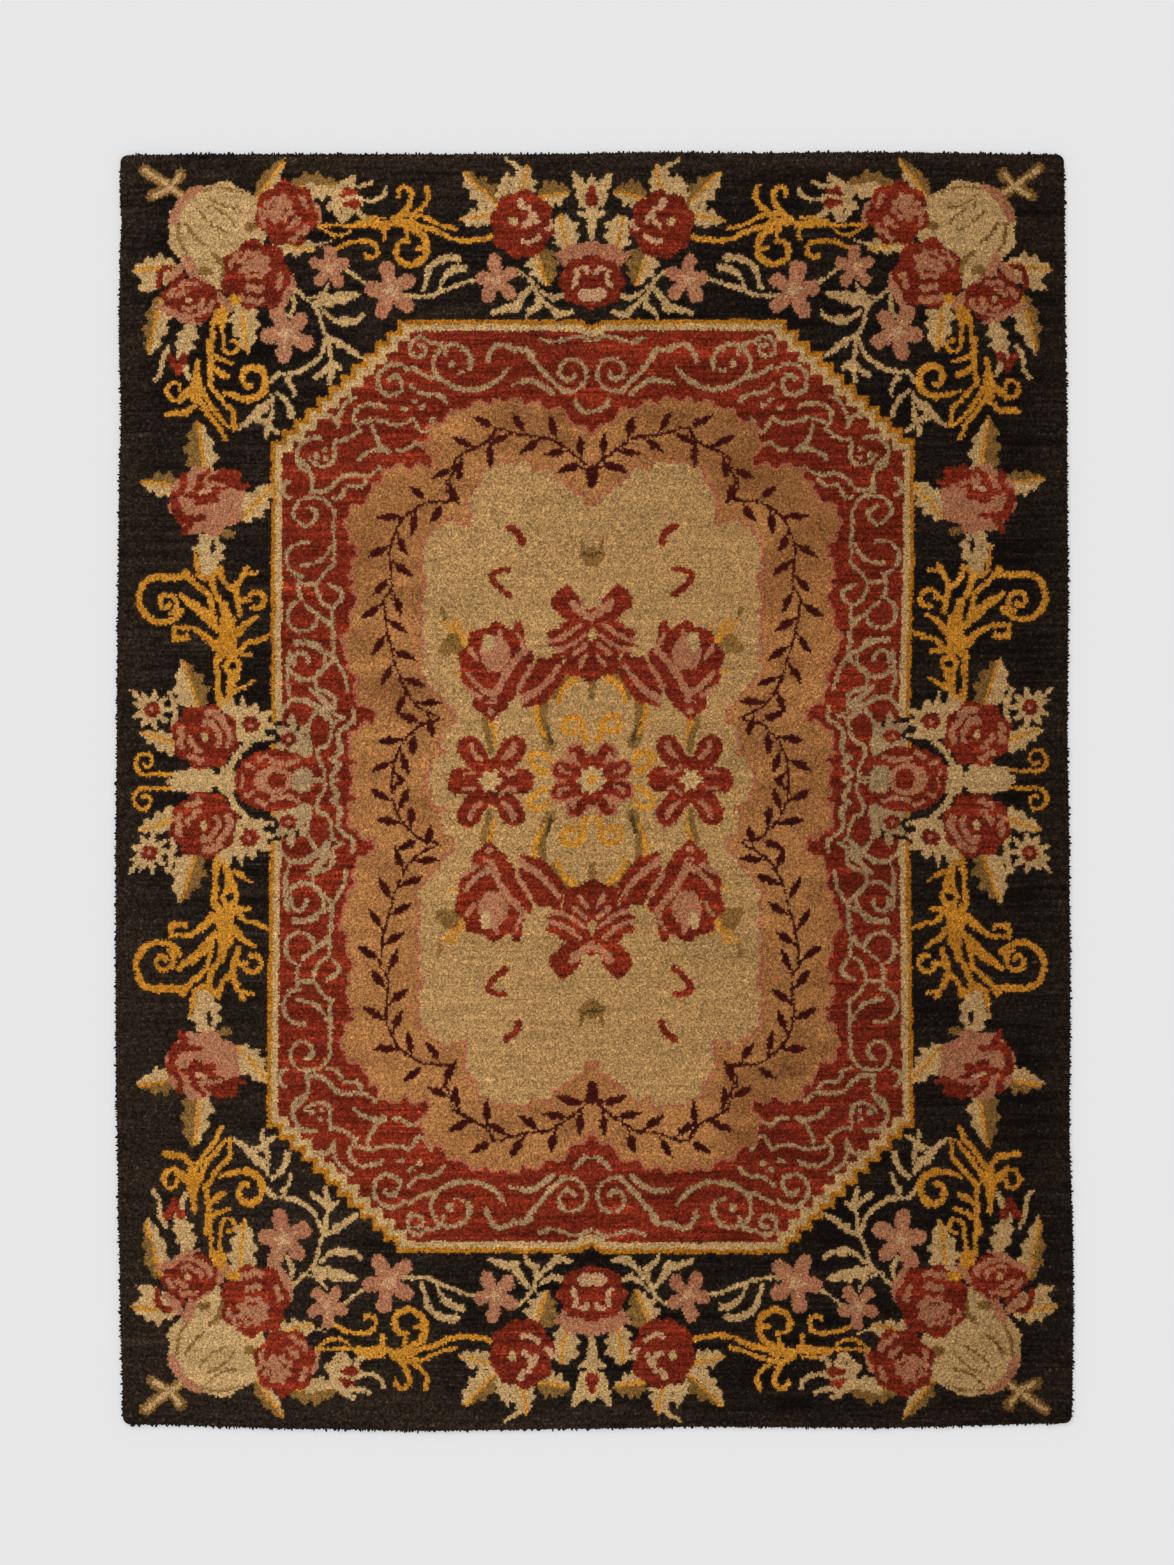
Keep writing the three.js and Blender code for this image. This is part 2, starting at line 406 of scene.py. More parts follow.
def wreath():
    """The wreath of flowers, leaves and scrolls, and the small marks beyond it."""
    each(
        branch, DYED_STEM,
        (OLIVE, 107, 66, 101, 38, -1, 8, 7), (GOLD, 101, 66, 96, 44, -1, 5, 4),
        (OLIVE, 47, 84, 41, 43, 5, 8, 12), (GOLD, 54, 86, 47, 52, 4, 5.5, 4.5),
        (DUSK, 44, 60, 41, 46, 1, 3, 5), (OLIVE, 23, 114, 37, 92, 1, 11, 8),
        (GOLD, 17, 109, 34, 87, 3, 8, 4), (OLIVE, 0, 114, 0, 92, 0, 13, 6), (GOLD, 43, 26, 52, 35, 3, 5),
        (GOLD, 52, 35, 62, 29, 3, 5, 6), (GOLD, 62, 29, 50, 15, 1, 6), (GOLD, 50, 15, 42, 17, 1, 6, 5),
        (OLIVE, 150, 178, 147, 166), (GOLD, 147, 166, 128, 142, -2, 4, 7),
        (GOLD, 137, 167, 124, 142, -1, 3.6), (GOLD, 121, 159, 120, 144, 0, 3.6),
        (GOLD, 139, 115, 132, 115, 0, 2.5), (GOLD, 6, 46, 10, 64, -1, 6.5),
    )
    curl(GOLD, 21, 61, 12, 165, -0.85, 6.5, 6, 0.4)
    spot(OLIVE, 140, 142, 13, 10, lobes=3, depth=0.2, turn=90)
    # tulips, each with a striped wing
    each(
        spot, SPOT,
        (RED, 50, 107, 31, 17, 6, 0.07, 0, -54), (RED, 96, 125, 37, 39, 9, 0.06, 90),
        (RED, 101, 90, 17, 21, 5, 0.08, 270),
    )
    branch(RED, 74, 130, 73, 163, 0, 22, 8)
    spot(PINK, 97, 134, 15, 18)
    branch(PINK, 95, 144, 92, 158, 0, 12, 4)
    spot(CREAM, 104, 145, 6, 9)
    each(
        branch, STEM,
        (124, 114, 98, 92, 2, 5, 8), (98, 92, 66, 138, -3, 8, 7), (67, 140, 74, 154, 0, 6, 3),
        (128, 101, 113, 91, 0, 4.5), (106, 86, 96, 86, 0, 3), (122, 140, 116, 128, 0, 5, 4),
        (60, 121, 73, 99, 1, 5), (33, 121, 69, 88, -3, 5, 8),
        dye=PINK,
    )
    spot(PINK, 101, 76, 3.5)
    # the flower above them
    each(
        spot, SPOT,
        (RED, 26, 185, 14, 16, 4, 0.1, 20, -22), (RED, 0, 149, 44, 20, 10, 0.07, 90), (RED, 0, 166, 26, 14),
        (RED, 0, 128, 29, 21, 6, 0.06, 90), (SAND, 0, 188, 6, 8),
    )
    each(
        branch, STEM,
        (19, 184, -4, 169, 2, 8), (42, 146, 13, 162, 2, 5), (36, 137, 8, 152, 2, 4.5),
        (18, 134, 7, 142, 0, 5), (13, 121, 6, 131, 0, 5),
        dye=PINK,
    )
    each(spot, SPOT, (SAND, 0, 153, 4.5, 7), (SAND, 45, 134, 5, 4))
    # the flowers beside and in the middle
    spot(RED, 102, 8, 23)
    each(
        branch, DYED_STEM,
        (RED, 102, 8, 122, 40, 0, 20, 25), (RED, 102, 8, 78, 40, 0, 20, 25), (RED, 102, 8, 134, 10, 0, 20),
        (RED, 102, 8, 68, 10, 0, 20), (PINK, 121, 43, 111, 29, 2, 5), (PINK, 77, 44, 88, 30, -2, 6, 5),
        (PINK, 128, 14, 117, 15), (PINK, 90, 20, 78, 15, 2, 5),
    )
    daisy(102, 8, 9, 6, 0, CREAM, GOLD)
    for dye, grow in ((BLUSH, 5), (RED, 0)):
        spot(dye, 0, 8, 24 + grow / 2)
        for way in np.radians((20, 62, 118, 160)):
            branch(dye, 0, 8, 34 * np.cos(way), 8 + 30 * np.sin(way), 0, 15 + grow, 16 + grow)
    each(branch, STEM, (19, 33, 13, 24, 2, 5), (32, 20, 22, 15, 2), dye=PINK)
    each(spot, SPOT, (CREAM, 0, 8, 13, 12, 8, 0.14), (GOLD, 0, 8, 4.5))
    # small marks on the field
    each(
        branch, STEM,
        (83, 261, 70, 245, -3, 7, 7.5), (84, 217, 101, 212, 2, 6, 7), (101, 212, 83, 193, 2, 7, 6.5),
        dye=RED,
    )
    spot(OLIVE, 0, 231, 12, 9, lobes=4, depth=0.08)
    branch(OLIVE, 8, 234, 11, 246, 0, 7, 3)
    branch(DUSK, 0, 232, 8, 234, 0, 3, 2)


# The flowers round the border

def gourd():
    """The ribbed gourd in the corner, and the crossed mark beyond it."""
    each(
        branch, DYED_STEM,
        (OLIVE, 447, 618, 405, 589, 0, 12, 10), (OLIVE, 412, 613, 421, 600, 0, 12, 9),
        (OLIVE, 439, 592, 420, 600, 0, 12, 9), (CREAM, 446, 618, 406, 590, 0, 5, 4),
        (CREAM, 413, 613, 421, 601, 0, 5, 4), (CREAM, 437, 592, 421, 600, 0, 5, 4),
    )
    leaf(338, 588, 306, 631, 17, CREAM, GOLD, OLIVE)
    each(spot, SPOT, (CREAM, 374, 558, 50, 47, 9, 0.03, 20), (CREAM, 378, 512, 14, 15))
    curl(PINK, 374, 558, 46, 12, 0.15, 9, 8, 1)
    each(
        branch, DYED_STEM,
        (OLIVE, 388, 598, 348, 594, -4, 2.5, 2), (OLIVE, 386, 594, 356, 580, 4, 2.5, 2),
        (OLIVE, 382, 582, 357, 562, -3, 2.5, 2), (OLIVE, 392, 577, 366, 557, 3, 3, 2.5),
        (OLIVE, 405, 564, 388, 544, 2, 5, 3), (OLIVE, 414, 564, 398, 527, 5, 4, 3),
        (OLIVE, 380, 534, 368, 514, -3, 6), (PINK, 404, 528, 396, 508, 0, 11),
        (PINK, 390, 506, 364, 480, 0, 11),
    )
    each(spot, SPOT, (OLIVE, 341, 561, 6, 5), (OLIVE, 387, 517, 7, 5))


def corner_roses():
    """The three roses in the corner, with their leaves and buds."""
    each(
        leaf, LEAF,
        (302, 602, 248, 602, 26, CREAM, GOLD, OLIVE), (322, 550, 274, 538, 22), (414, 520, 461, 516, 29),
        (430, 508, 456, 497, 12, CREAM, None), (428, 493, 444, 431, 24, OLIVE), (350, 490, 344, 434, 27),
        (400, 466, 414, 424, 19, CREAM, None),
    )
    each(
        spot, SPOT,
        (CREAM, 278, 597, 13, 8, 5, 0.15), (CREAM, 248, 588, 17, 15, 5, 0.25, 40),
        (RED, 245, 596, 9, 6, 3, 0.2, 60), (RED, 240, 584, 9, 5, 3, 0.15),
    )
    branch(CREAM, 252, 589, 242, 590, 0, 3, 3)
    each(
        branch, DYED_STEM,
        (CREAM, 252, 598, 238, 610, -2, 9, 6), (CREAM, 240, 602, 221, 605, 2, 5, 4),
        (CREAM, 230, 588, 212, 590, 2), (CREAM, 212, 590, 207, 600, 2),
        (CREAM, 256, 578, 246, 568, 3, 7, 5), (CREAM, 234, 578, 227, 571, 2, 6, 5),
        (CREAM, 288, 543, 262, 547, 2, 5, 2), (CREAM, 424, 440, 431, 416, 2, 5, 4),
        (CREAM, 431, 416, 437, 408, 0, 4, 5), (CREAM, 408, 440, 403, 410, 3, 9, 5),
        (RED, 422, 430, 415, 415, -1, 9, 5), (RED, 408, 430, 414, 415, 1, 9, 5),
        (RED, 434, 502, 410, 512, -14, 6, 7), (PINK, 424, 508, 412, 520, 0, 8, 9),
        (PINK, 283, 586, 274, 568, -3, 8), (PINK, 302, 512, 312, 484, -4, 10, 9),
    )
    splashed_rose(306, 574, 30, 32, 35)
    splashed_rose(336, 513, 34, 34, 80)
    rose(402, 488, 29, 22, 240)
    branch(PINK, 432, 480, 408, 468, -2, 7, 7)
    branch(PINK, 408, 468, 392, 463, 0, 6, 3)
    spot(GOLD, 358, 488, 7, 5)


def corner_scrolls():
    """The gold scrolls and tendrils under the corner's roses."""
    each(
        branch, STEM,
        (371, 475, 371, 471, 0, 15, 16), (379, 468, 380, 446, 0, 4.5), (383, 446, 383, 404, -2, 7, 6),
        (383, 405, 358, 376, 1, 5), (358, 376, 358, 358, 0, 5, 3), (370, 466, 369, 446, 0, 5, 4.5),
        (382, 438, 360, 425, 3, 5), (382, 422, 365, 411, 1, 5, 6), (368, 395, 342, 389, 1, 4, 7),
        (395, 428, 396, 402, 0, 4, 11), (396, 404, 396, 390, 0, 12, 11), (395, 392, 372, 360, 1, 6, 5),
        (372, 360, 367, 348, 0, 5, 4), (390, 398, 363, 360, 2, 6, 4), (400, 398, 413, 388, 1, 8, 7),
        (397, 384, 406, 375, 0, 5), (406, 375, 425, 374, 0, 5, 6),
        dye=GOLD,
    )
    each(
        curl, CURL,
        (360, 442, 9, 20, -0.84, 0.5), (341, 408, 18, 270, -0.98, 0.35, 7, 6),
        (417, 398, 10, 275, 0.74, 0.5, 5, 4),
        dye=GOLD,
    )


def end_scrolls():
    """The gold scrolls along an end."""
    each(
        branch, STEM,
        (274, 563, 234, 562, 0, 3.5, 4), (272, 562, 238, 561, 9, 3.5), (234, 564, 206, 562, -1, 8, 9),
        (228, 570, 207, 570, 0, 4, 3), (208, 562, 208, 548, 0, 7, 4), (206, 564, 182, 566, 0, 7, 9),
        (186, 562, 185, 551, 0, 8, 4), (186, 565, 140, 549, -2, 7, 5), (140, 549, 98, 552, 3, 5, 4.5),
        (190, 573, 162, 569, -2, 5, 4), (162, 569, 136, 559, 2, 4, 3.5), (199, 568, 182, 588, 3, 8, 5),
        (175, 577, 166, 601, 6, 5, 4), (176, 539, 168, 539, 0, 4, 5), (259, 537, 224, 546, -4, 4, 5),
        dye=GOLD,
    )
    each(
        curl, CURL,
        (184, 538, 21, 105, 0.98, 0.4, 8, 5), (222, 536, 9, 90, 0.68, 0.6, 5, 4),
        (188, 594, 7, 200, -0.62, 0.9, 4.5, 4),
        dye=GOLD,
    )


def end_tendrils():
    """The light tendrils and the pink flowers along an end."""
    each(
        branch, STEM,
        (308, 506, 273, 476, -2, 4, 3), (273, 476, 264, 451, 2, 3.5), (289, 490, 264, 504, 6, 3),
        (306, 504, 302, 472, -6, 3, 5), (266, 449, 302, 415, -9, 4, 6), (263, 450, 258, 420, 2, 4, 5),
        (259, 424, 276, 410, 0, 8, 5), (259, 424, 262, 405, 0, 8, 5), (259, 424, 251, 419, 0, 8, 4),
        (316, 396, 300, 373, -3, 4, 7), (306, 408, 298, 392, -2, 5, 4), (321, 393, 324, 360, -2, 3, 5),
        (323, 366, 334, 366, 0, 7, 5), (323, 362, 313, 355, 0, 6, 4), (324, 362, 326, 350, 0, 5, 4),
        (246, 519, 216, 500, 2, 3), (268, 476, 229, 473, 9, 5), (188, 493, 158, 494, 2),
        (158, 494, 118, 508, -1), (169, 498, 163, 520, 1, 4, 5), (163, 520, 134, 530, -4, 6, 7),
        (153, 498, 148, 512), (148, 512, 129, 520, -2, 5, 8), (76, 517, 57, 499, -3, 3, 4),
        (60, 500, 76, 480, 2, 4, 9), (76, 480, 98, 475, 1, 9, 6), (56, 497, 54, 482, 0, 3, 6),
        (54, 482, 66, 470, 2, 8, 3), (54, 494, 32, 474, 2, 2.5, 8), (34, 473, 20, 476, 0, 7, 3),
        (56, 502, 36, 490, 2, 2.5, 5), (38, 490, 26, 494, 0, 7, 3),
        dye=CREAM,
    )
    curl(CREAM, 311, 406, 9, 0, 0.5, 5, 4, 0.9)
    spot(CREAM, 248, 467, 8, 5)
    each(
        leaf, "u v tip_u tip_v width",
        (279, 484, 230, 495, 13), (264, 452, 227, 428, 7), (318, 390, 354, 357, 10),
        rib=None,
    )
    each(
        star, "u v reach turn uneven",
        (263, 520, 20, 92, 0.08), (305, 455, 26, 64, 0.12), (201, 497, 26, 79, 0.1),
        (95, 508, 22, 82, 0.12),
    )


def end_middle():
    """The rose near the middle of an end with its leaves, and the bud and the rose on the middle line."""
    each(
        leaf, LEAF,
        (94, 580, 130, 616, 25, OLIVE), (92, 582, 84, 617, 13, CREAM, None), (74, 586, 65, 624, 26),
        (54, 592, 20, 597, 26, CREAM, GOLD, OLIVE), (96, 573, 134, 567, 18), (30, 574, 22, 528, 26),
        (56, 542, 42, 501, 30, CREAM, GOLD, OLIVE),
    )
    branch(CREAM, 72, 620, 87, 630, 0, 5, 3)
    each(spot, SPOT, (RED, 70, 564, 32, 33, 8, 0.06, 190), (RED, 62, 540, 11, 10))
    each(
        branch, STEM,
        (71, 586, 62, 580, 2, 7, 5), (68, 563, 60, 573, 2, 6, 5), (59, 575, 55, 566, 0, 5),
        (46, 559, 41, 567, 2, 5), (69, 547, 53, 551, 2, 5),
        dye=SHELL,
    )
    spot(CREAM, 79, 566, 4, 5)
    branch(CREAM, 0, 584, 0, 546, 0, 15, 4)
    spot(CREAM, 0, 591, 15, 11, lobes=5, depth=0.12, turn=90)
    each(
        leaf, "u v tip_u tip_v width",
        (6, 590, 19, 616, 11), (0, 594, -2, 614, 14), (2, 572, 14, 577, 8),
        rib=None,
    )
    each(
        spot, SPOT,
        (RED, 0, 591, 7, 10, 3, 0.12, 90), (PINK, 0, 531, 36, 15, 9, 0.05, 90),
        (RED, 0, 506, 33, 26, 8, 0.05, 90),
    )
    each(
        branch, DYED_STEM,
        (SHELL, -4, 493, 8, 493, 0, 12), (SHELL, 16, 517, 19, 502, -2, 5),
        (SHELL, 11, 520, 4, 515, -2, 5, 4), (RED, -4, 529, 24, 526, -3, 4, 3),
    )


def side_rose():
    """The pink rose part of the way along a side."""
    each(
        leaf, LEAF,
        (388, 308, 396, 369, 29, CREAM, GOLD, OLIVE), (408, 300, 453, 306, 24, OLIVE),
        (352, 268, 320, 304, 26), (382, 256, 384, 206, 29, CREAM, None),
    )
    each(
        spot, SPOT,
        (OLIVE, 364, 254, 9, 4), (GROUND, 379, 241, 3, 6), (PINK, 385, 287, 38, 34, 8, 0.06, 30),
        (RED, 366, 309, 16, 11, 5, 0.15), (RED, 388, 293, 17, 10, 5, 0.15),
    )
    each(
        branch, DYED_STEM,
        (RED, 354, 301, 345, 303, 0, 8, 5), (RED, 384, 316, 394, 300, 3, 6),
        (RED, 408, 312, 417, 290, -3, 8, 7), (RED, 418, 292, 411, 270, 2, 9, 10),
        (RED, 412, 269, 388, 270, 0, 9, 5), (RED, 404, 264, 408, 254, 0, 8, 5),
        (SHELL, 392, 295, 382, 299, 0, 4, 5), (PINK, 378, 306, 366, 302, 1),
    )


def side_tree():
    """The tree of gold scrolls along a side."""
    each(
        branch, STEM,
        (397, 238, 394, 214, 0, 4, 4.5), (394, 214, 381, 209, 1, 5), (380, 208, 368, 182, 2, 6, 7),
        (368, 184, 365, 165, 0, 7, 12), (381, 211, 370, 218, 0, 5, 6), (371, 218, 357, 196, 3, 6, 5),
        (356, 198, 352, 173, 1, 6, 5), (356, 201, 346, 220, 0, 6, 5), (347, 214, 335, 216, 0, 5, 4),
        (354, 188, 343, 188, 0, 7, 6), (378, 176, 382, 192, -1, 7, 5), (382, 192, 402, 211, -1, 5, 6),
        (402, 211, 432, 211, 0, 6), (411, 192, 372, 162, -1, 5, 14), (364, 166, 364, 142, 0, 15, 19),
        (366, 144, 368, 131, 0, 20, 12), (376, 141, 398, 160, 1, 9, 5), (398, 160, 418, 160, 0, 5),
        (418, 160, 418, 149, 0, 5), (418, 149, 404, 149, 0, 5.5, 5), (404, 149, 404, 153),
        (357, 152, 335, 171, -2, 8, 4), (361, 128, 344, 146, -1, 5, 4.5), (344, 146, 322, 153, 1, 4.5),
        (352, 134, 341, 134), (375, 132, 374, 88, 0, 6), (363, 126, 363, 88, 0, 4, 5),
        (357, 115, 362, 96, 0, 9, 7), (361, 96, 339, 108, 2, 6, 2), (369, 91, 369, 76, 0, 13, 12),
        dye=GOLD,
    )
    branch(GROUND, 368, 128, 368, 93, 0, 5.5, 4.5)
    spot(GROUND, 361, 122, 4.5, 4)
    branch(GROUND, 375, 184, 373, 164, 0, 4.5, 3)
    each(spot, SPOT, (GOLD, 406, 214, 5), (GOLD, 413, 175, 5))
    each(
        curl, CURL,
        (430, 189, 23, 90, -0.66, 1.0, 6), (426, 185, 12, 250, -1.1, 0.3, 4, 5),
        (336, 187, 9, 40, 0.7, 0.8, 5), (359, 122, 7, 90, 1.0, 1.0, 5),
        dye=GOLD,
    )


def side_middle():
    """The flowers in the middle of a side, which cover the frame's lines."""
    spot(GROUND, 322, 56, 13, 14, lobes=5, depth=0.15)
    each(leaf, LEAF, (394, 76, 411, 128, 32, OLIVE), (404, 38, 453, 56, 21))
    branch(GOLD, 408, 14, 446, 14, 0, 4, 4)
    curl(GOLD, 446, 26, 13, 268, 1.1, 4, 3.5, 0.28)
    branch(CREAM, 422, 96, 418, 62, -3, 5, 6)
    daisy(440, 78, 16, 9, 20, RED, PINK)
    branch(CREAM, 449, 86, 461, 97, 0, 6, 2)
    spot(CREAM, 396, 8, 27, 12, lobes=9, depth=0.1)
    curl(CREAM, 321, 7, 43, 58, -0.33, 6, 6, 1)
    each(
        spot, SPOT,
        (CREAM, 364, 8, 10, 14), (CREAM, 341, 65, 21, 17, 8, 0.2, 10), (CREAM, 362, 62, 12, 26, 7, 0.15),
    )
    branch(CREAM, 346, 50, 318, 50, 1, 10, 3)
    branch(CREAM, 348, 78, 349, 92, 0, 7, 3)
    rose(387, 51, 33, 32, 150)
    each(
        spot, SPOT,
        (RED, 341, 64, 9.5, 8.5, 6, 0.08), (PINK, 341, 63, 2.5), (TAUPE, 300, 50, 15, 18, 6, 0.25, 90),
        (TAUPE, 288, 40, 9, 11), (RED, 303, 49, 8.5, 7.5), (PINK, 303, 49, 2.5),
        (GROUND, 305, 63, 3, 2), (GROUND, 294, 60, 2, 4), (RED, 316, 7, 42, 32), (PINK, 318, 7, 19, 15),
        (RED, 315, 7, 10, 9), (TAUPE, 290, 8, 11, 13),
    )
    each(
        branch, DYED_STEM,
        (PINK, 345, 23, 338, 20, 0, 5, 4), (PINK, 334, 28, 326, 32, 0, 6, 5),
        (PINK, 320, 27, 294, 28, 3, 5), (PINK, 350, 14, 346, 4, 1, 3), (TAUPE, 280, 9, 270, 8),
    )


red_band()
fields()
wreath()
gourd()
end_scrolls()
end_tendrils()
end_middle()
corner_scrolls()
corner_roses()
side_rose()
side_tree()
side_middle()

# Each quarter of the rug repeats the chart, a little out of place, as hand work is.
# Each row of a quarter's table: where in the quarter, and how far the work there strays from the chart.

STITCH = 0.00192
MIDDLE_X = -0.0048
MIDDLE_Y = 0.0067
MIRROR_V = 7.5
STRAY_REACH = 70
SEAM = 60
WOBBLE = 0.5
WOBBLE_CELL = 6
FAR_LEFT = ((0, 0, 0, 0),)
FAR_RIGHT = (
    (0, 60, 0, 1), (100, 60, -3, 1), (330, 60, -2, 3), (0, 300, 0, 1), (200, 300, 1.5, 1),
    (380, 300, 1.5, 3), (0, 560, 0, 0), (380, 560, 0, 1),
)
NEAR_LEFT = (
    (0, 8, 0, -15), (300, 8, 0, -16), (100, 100, 2, -13), (350, 100, 2.5, -13), (150, 200, 4, -12),
    (150, 280, 4, -10), (380, 280, 4, -10), (0, 347, 0, -7), (250, 347, 5, -7), (100, 430, 2, -4),
    (250, 430, 3.5, -4), (260, 510, 2, -2), (100, 560, 1, 1), (380, 560, 1, 1), (380, 600, 0, 4),
    (60, 600, 0, 4),
)
NEAR_RIGHT = (
    (0, 8, 0, -16), (100, 60, -3, -15), (320, 60, -3, -15), (140, 190, -1, -12), (340, 190, -1, -12),
    (150, 280, 0, -10), (380, 280, 0, -10), (0, 347, 0, -7), (250, 347, 2, -7), (95, 450, 1, -3),
    (260, 450, 3, -4), (95, 540, 1, 0), (260, 520, 3, -1), (400, 540, 6, 1), (400, 600, 6, 4),
    (60, 600, 1, 4),
)


def strays(table, u, v):
    """How far the work strays at each place: a blend of the rows near it, and none across the seam."""
    total = np.full(u.shape, 1e-9)
    stray_u = np.zeros(u.shape)
    stray_v = np.zeros(u.shape)
    for at_u, at_v, out_u, out_v in table:
        weight = 1 / (1 + ((u - at_u) ** 2 + (v - at_v) ** 2) / STRAY_REACH**2) ** 2
        total += weight
        stray_u += weight * out_u
        stray_v += weight * out_v
    off_seam = (u / SEAM).clip(0, 1)
    return stray_u / total * off_seam, stray_v / total


def dye_at(x, y):
    """The dye of a knot at each place on the rug."""
    raw_u = (x - MIDDLE_X) / STITCH
    raw_v = (y - MIDDLE_Y) / STITCH
    dyes = np.zeros(x.shape, np.uint8)
    wobble_u = WOBBLE * soft_noise(x.shape, WOBBLE_CELL, WOBBLE_CELL)
    wobble_v = WOBBLE * soft_noise(x.shape, WOBBLE_CELL, WOBBLE_CELL)
    for right, far, table in ((0, 1, FAR_LEFT), (1, 1, FAR_RIGHT), (0, 0, NEAR_LEFT), (1, 0, NEAR_RIGHT)):
        here = ((raw_u > 0) == right) & ((raw_v > MIRROR_V) == far)
        u = np.abs(raw_u[here])
        v = raw_v[here] if far else -raw_v[here]
        stray_u, stray_v = strays(table, u, v)
        stray_u = stray_u + wobble_u[here]
        stray_v = stray_v + wobble_v[here]
        cell_u = ((u - stray_u) * FINE).astype(int).clip(0, chart.shape[1] - 1)
        cell_v = ((v - stray_v) * FINE).astype(int).clip(0, chart.shape[0] - 1)
        dyes[here] = chart[cell_v, cell_u]
    return dyes


# Dyes as seen, in display values: each one's shade, the shade that it drifts to, how much its
# dye lots drift, and how strongly its rows and its knots vary

DYE_COLUMNS = ("shade", "drift", "lots", "rows", "knots")
DYES = {
    GROUND: ((21, 15, 12), (44, 34, 26), 0.26, 0.22, 0.46),
    RED: ((142, 48, 26), (98, 32, 18), 0.22, 0.42, 0.32),
    CREAM: ((203, 163, 108), (209, 170, 116), 0.20, 0.08, 0.17),
    GOLD: ((221, 151, 53), (197, 127, 34), 0.40, 0.08, 0.20),
    AMBER: ((197, 127, 32), (171, 105, 24), 0.30, 0.12, 0.22),
    OLIVE: ((150, 109, 56), (120, 88, 44), 0.35, 0.08, 0.22),
    PINK: ((193, 131, 94), (169, 103, 73), 0.25, 0.09, 0.18),
    TAN: ((195, 133, 77), (143, 91, 50), 0.46, 0.13, 0.22),
    SAND: ((196, 151, 95), (183, 142, 89), 0.22, 0.12, 0.21),
    MAROON: ((58, 15, 12), (80, 24, 18), 0.30, 0.08, 0.24),
    TAUPE: ((187, 152, 108), (159, 126, 87), 0.30, 0.10, 0.20),
    BLUSH: ((188, 112, 82), (168, 94, 64), 0.30, 0.08, 0.18),
    DUSK: ((72, 56, 30), (90, 72, 40), 0.30, 0.08, 0.20),
    SHELL: ((214, 166, 122), (198, 146, 106), 0.30, 0.08, 0.16),
}

USUAL_DRIFT = 0.35
ROW_DRIFT = 0.15
ROW_LAYERS = ((0.75, 1, 16), (0.5, 2, 34), (0.4, 6, 70))
LOT_LAYERS = ((0.6, 28, 40), (0.5, 7, 16))

# The dark ground is paler and browner along its rim, towards its left side, and most of all towards its
# near left corner
RIM_WIDTH = 0.09
RIM_PALING = 0.6
LEFT_PALING = 0.1
CORNER_PALING = 0.9

# The rug's right side has painted shade, darker and warmer, most of all near its near end
RIGHT_SHADE_CHANNELS = np.array([0.90, 1.02, 1.16])
RIGHT_SHADE_START = 0.2
RIGHT_SHADE = 0.42
NEAR_RIGHT_SHADE = 0.12


def linear(shade):
    """A display value from 0 to 255 as light."""
    value = np.array(shade, float) / 255
    return np.where(value <= 0.04045, value / 12.92, ((value + 0.055) / 1.055) ** 2.4)


def knot_colours(dyes, x, y):
    """Each knot's own colour: its dye, the dye lot that drifts over the rug, the knot's own depth, and
    painted shade over its right side.
    """
    rows = layered_noise(dyes.shape, ROW_LAYERS)
    lots = layered_noise(dyes.shape, LOT_LAYERS)
    knots = grain.standard_normal(dyes.shape)
    rim = np.minimum(cad_high.x - np.abs(x), cad_high.y - np.abs(y))
    to_left = (-x / cad_high.x).clip(0, 1)
    to_near = (-y / cad_high.y).clip(0, 1)
    paling = RIM_PALING * (1 - rim / RIM_WIDTH).clip(0, 1)
    paling = paling + LEFT_PALING * to_left + CORNER_PALING * to_left * to_near
    to_right = ((x / cad_high.x + RIGHT_SHADE_START) / (1 + RIGHT_SHADE_START)).clip(0, 1)
    # painted shade: the right side darker and warmer, most of all towards the near end
    lean = -to_right * (RIGHT_SHADE + NEAR_RIGHT_SHADE * to_near)
    colours = np.zeros((*dyes.shape, 3))
    for dye, row in DYES.items():
        facts = dict(zip(DYE_COLUMNS, row))
        here = dyes == dye
        share = USUAL_DRIFT + facts["lots"] * lots[here] + ROW_DRIFT * rows[here]
        if dye == GROUND:
            share = share + paling[here]
        share = share.clip(0, 1)[:, None]
        mixed = linear(facts["shade"]) * (1 - share) + linear(facts["drift"]) * share
        depth = facts["rows"] * rows[here] + facts["knots"] * knots[here]
        colours[here] = mixed * np.exp(depth[:, None] + lean[here][:, None] * RIGHT_SHADE_CHANNELS)
    return colours


# The rug's outline, from its own solid

cad_low, cad_high = cad_box
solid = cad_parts["rug"].data
corners = np.array([vertex.co for vertex in solid.vertices])
WIDEST_HEIGHT = 0.005
widest = corners[np.abs(corners[:, 2] - WIDEST_HEIGHT) < 0.0005]
EDGE_DEPTH = 0.04
CORNER_LENGTH = 0.03
STRAIGHT_X = cad_high.x - CORNER_LENGTH
STRAIGHT_Y = cad_high.y - CORNER_LENGTH


def edge_line(along, out, sign, limit):
    """One edge of the outline as a function: where it stands out to at each place along it."""
    beside = widest[:, out] * sign > cad_high[out] - EDGE_DEPTH
    near = widest[beside & (np.abs(widest[:, along]) < limit)]
    order = near[np.argsort(near[:, along])]
    return lambda place: np.interp(place, order[:, along], order[:, out])


right_x = edge_line(1, 0, 1, STRAIGHT_Y)
left_x = edge_line(1, 0, -1, STRAIGHT_Y)
far_y = edge_line(0, 1, 1, STRAIGHT_X)
near_y = edge_line(0, 1, -1, STRAIGHT_X)

# The pile's rows and columns of knots. The first four at each edge turn down to the floor,
# and each row of the shoulder is how far in from the outline one stands and its height.

